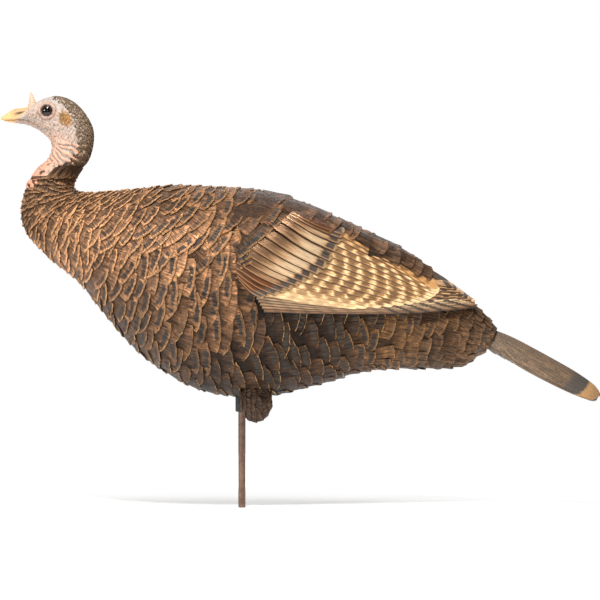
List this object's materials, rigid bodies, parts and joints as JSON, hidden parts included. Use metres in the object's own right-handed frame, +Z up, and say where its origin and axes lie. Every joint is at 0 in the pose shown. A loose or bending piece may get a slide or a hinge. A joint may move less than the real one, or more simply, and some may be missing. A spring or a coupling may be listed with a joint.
{
  "type": "turkey decoy",
  "caption": "Life-size hen turkey decoy: hollow moulded body with separate head, tail and wing panels that turns on a brown ground stake.",
  "frame": {"origin": "ground line on the stake's axis", "axes": "+X towards the tail, the beak points to -X; +Y to the bird's right side; +Z up along the stake"},
  "size_m": [0.79, 0.2378, 0.709],
  "materials": {
    "body_feather": "satin hand-painted feather relief, copper brown with dark bars",
    "wing_feather": "satin metallic bronze and buff paint with brown bars",
    "tail_feather": "satin grey-brown paint with a dark band and a tan tip",
    "head_skin": "matte painted skin, pale blue-grey and pink, brown hairy nape",
    "eye_gloss": "polished black",
    "grey_plastic": "plain moulded",
    "white_nylon": "turned nylon",
    "black_rubber": "matte rubber",
    "stake_paint": "brown paint on steel rod"
  },
  "bodies": {
    "stake": {"stake_rod": "stake_paint", "stake_point": "stake_paint"},
    "pivot": {"pivot_cap": "white_nylon"},
    "decoy": {"body_shell": "body_feather", "wing_left": "wing_feather", "wing_right": "wing_feather", "wing_stud_left_front": "grey_plastic", "wing_stud_left_rear": "grey_plastic", "wing_stud_right_front": "grey_plastic", "wing_stud_right_rear": "grey_plastic", "stake_tube": "grey_plastic", "back_cup": "grey_plastic", "stake_collar": "black_rubber", "neck_socket": "grey_plastic", "tail_socket": "grey_plastic"},
    "neck_collar": {"neck_friction_ring": "black_rubber"},
    "head": {"head_shell": "head_skin", "eye_left": "eye_gloss", "eye_right": "eye_gloss", "neck_plug": "grey_plastic"},
    "tail": {"tail_fan": "tail_feather", "tail_tongue": "grey_plastic"}
  },
  "joints": [
    {"name": "lift_off", "type": "slide", "parent": "stake", "child": "pivot", "axis": [0, 0, 1], "range_m": [0, 0.25]},
    {"name": "swivel", "type": "hinge", "parent": "pivot", "child": "decoy", "pos_m": [0, 0, 0.375], "axis": [0, 0, 1], "continuous": true},
    {"name": "head_pull", "type": "slide", "parent": "decoy", "child": "neck_collar", "axis": [0, 0, 1], "range_m": [0, 0.055]},
    {"name": "head_turn", "type": "hinge", "parent": "neck_collar", "child": "head", "pos_m": [-0.249, 0, 0.41], "axis": [0, 0, 1], "range_deg": [-75, 75]},
    {"name": "tail_pull", "type": "slide", "parent": "decoy", "child": "tail", "axis": [0.8829, 0, -0.4695], "range_m": [0, 0.06]}
  ]
}
